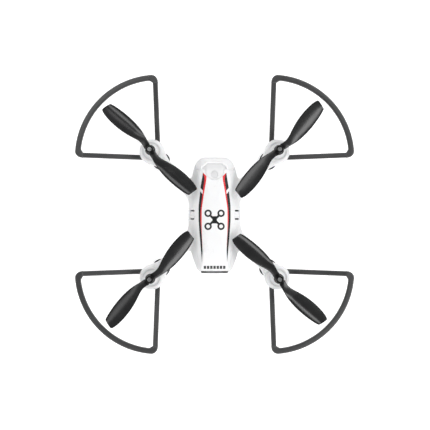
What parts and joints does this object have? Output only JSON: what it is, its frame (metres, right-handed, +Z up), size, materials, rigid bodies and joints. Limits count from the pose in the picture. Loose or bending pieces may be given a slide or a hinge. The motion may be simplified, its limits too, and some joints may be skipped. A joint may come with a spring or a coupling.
{
  "type": "quadcopter drone",
  "caption": "Small white quadcopter with geared motors, black two-blade propellers in quarter-ring guards, a tilting camera under the nose and a battery that slides out at the tail.",
  "frame": {"origin": "centre of the footprint, on the ground under the feet", "axes": "+Z up, +Y towards the nose, +X to the right of the aircraft"},
  "size_m": [0.3112, 0.3112, 0.051],
  "materials": {
    "shell_white": "satin gloss moulded white",
    "guard_black": "fine-textured moulded black",
    "blade_black": "satin black",
    "trim_black": "printed gloss black",
    "trim_red": "printed gloss red",
    "button_grey": "satin light grey",
    "leg_black": "satin black",
    "pad_rubber": "matt rubber",
    "steel": "bright machined",
    "can_steel": "drawn can",
    "bronze": "sintered bronze",
    "gear_nylon": "natural nylon",
    "board_green": "solder mask",
    "chip_black": "moulded epoxy",
    "connector_ivory": "nylon",
    "switch_grey": "matt",
    "wire": "silicone insulation",
    "wire_black": "silicone insulation",
    "tray_grey": "matt",
    "gold": "gold plated",
    "camera_black": "fine satin",
    "lens_ring": "anodised",
    "lens_glass": "coated glass",
    "battery_wrap": "shrink wrap",
    "end_cap_black": "satin black",
    "lens_clear": "moulded translucent",
    "lens_red": "moulded translucent"
  },
  "bodies": {
    "airframe": {"upper_shell": "shell_white", "lower_shell": "shell_white", "nose_cap": "shell_white", "canopy_panel": "shell_white", "stripes_black": "trim_black", "stripes_red": "trim_red", "canopy_icon": "trim_black", "guard_fr": "guard_black", "guard_fl": "guard_black", "guard_rl": "guard_black", "guard_rr": "guard_black", "guard_screws": "steel", "shell_screws": "steel", "legs": "leg_black", "foot_pads": "pad_rubber", "motors": "can_steel", "shaft_bushings": "bronze", "led_boards": "board_green", "led_lenses_front": "lens_clear", "led_lenses_rear": "lens_red", "main_board": "board_green", "board_chips": "chip_black", "board_connectors": "connector_ivory", "power_switch": "switch_grey", "motor_wires": "wire", "battery_tray": "tray_grey", "battery_contacts": "gold", "camera_bracket": "camera_black", "antenna_wire": "wire_black"},
    "camera": {"camera_housing": "camera_black", "camera_lens_ring": "lens_ring", "camera_lens_glass": "lens_glass", "camera_pins": "steel"},
    "battery": {"battery_pack": "battery_wrap", "battery_end_cap": "end_cap_black", "battery_terminals": "gold"},
    "power_button": {"power_button": "button_grey"},
    "latch_left": {"latch_tab_left": "shell_white"},
    "latch_right": {"latch_tab_right": "shell_white"},
    "rotor_fr": {"propeller_fr": "blade_black", "rotor_screw_fr": "steel", "rotor_shaft_fr": "steel", "rotor_gear_fr": "gear_nylon"},
    "pinion_fr": {"pinion_fr": "bronze"},
    "rotor_fl": {"propeller_fl": "blade_black", "rotor_screw_fl": "steel", "rotor_shaft_fl": "steel", "rotor_gear_fl": "gear_nylon"},
    "pinion_fl": {"pinion_fl": "bronze"},
    "rotor_rl": {"propeller_rl": "blade_black", "rotor_screw_rl": "steel", "rotor_shaft_rl": "steel", "rotor_gear_rl": "gear_nylon"},
    "pinion_rl": {"pinion_rl": "bronze"},
    "rotor_rr": {"propeller_rr": "blade_black", "rotor_screw_rr": "steel", "rotor_shaft_rr": "steel", "rotor_gear_rr": "gear_nylon"},
    "pinion_rr": {"pinion_rr": "bronze"}
  },
  "joints": [
    {"name": "camera_tilt", "type": "hinge", "parent": "airframe", "child": "camera", "pos_m": [0, 0.05, 0.015], "axis": [1, 0, 0], "range_deg": [-50, 15]},
    {"name": "battery_slide", "type": "slide", "parent": "airframe", "child": "battery", "axis": [0, -1, 0], "range_m": [0, 0.07]},
    {"name": "power_press", "type": "slide", "parent": "airframe", "child": "power_button", "axis": [0, 0, -1], "range_m": [0, 0.0008], "stiffness_N_per_m": 600},
    {"name": "latch_left_press", "type": "slide", "parent": "airframe", "child": "latch_left", "axis": [1, 0, 0], "range_m": [0, 0.001], "stiffness_N_per_m": 800},
    {"name": "latch_right_press", "type": "slide", "parent": "airframe", "child": "latch_right", "axis": [-1, 0, 0], "range_m": [0, 0.001], "stiffness_N_per_m": 800},
    {"name": "rotor_fr_spin", "type": "hinge", "parent": "airframe", "child": "rotor_fr", "pos_m": [0.0717, 0.0717, 0.03], "axis": [0, 0, 1], "continuous": true},
    {"name": "pinion_fr_spin", "type": "hinge", "parent": "airframe", "child": "pinion_fr", "pos_m": [0.06198, 0.06198, 0.03], "axis": [0, 0, 1], "continuous": true},
    {"name": "rotor_fl_spin", "type": "hinge", "parent": "airframe", "child": "rotor_fl", "pos_m": [-0.0717, 0.0717, 0.03], "axis": [0, 0, 1], "continuous": true},
    {"name": "pinion_fl_spin", "type": "hinge", "parent": "airframe", "child": "pinion_fl", "pos_m": [-0.06198, 0.06198, 0.03], "axis": [0, 0, 1], "continuous": true},
    {"name": "rotor_rl_spin", "type": "hinge", "parent": "airframe", "child": "rotor_rl", "pos_m": [-0.0717, -0.0717, 0.03], "axis": [0, 0, 1], "continuous": true},
    {"name": "pinion_rl_spin", "type": "hinge", "parent": "airframe", "child": "pinion_rl", "pos_m": [-0.06198, -0.06198, 0.03], "axis": [0, 0, 1], "continuous": true},
    {"name": "rotor_rr_spin", "type": "hinge", "parent": "airframe", "child": "rotor_rr", "pos_m": [0.0717, -0.0717, 0.03], "axis": [0, 0, 1], "continuous": true},
    {"name": "pinion_rr_spin", "type": "hinge", "parent": "airframe", "child": "pinion_rr", "pos_m": [0.06198, -0.06198, 0.03], "axis": [0, 0, 1], "continuous": true}
  ],
  "couplings": [
    {"joint": "pinion_fr_spin", "follows": "rotor_fr_spin", "ratio": -4},
    {"joint": "pinion_fl_spin", "follows": "rotor_fl_spin", "ratio": -4},
    {"joint": "pinion_rl_spin", "follows": "rotor_rl_spin", "ratio": -4},
    {"joint": "pinion_rr_spin", "follows": "rotor_rr_spin", "ratio": -4}
  ]
}
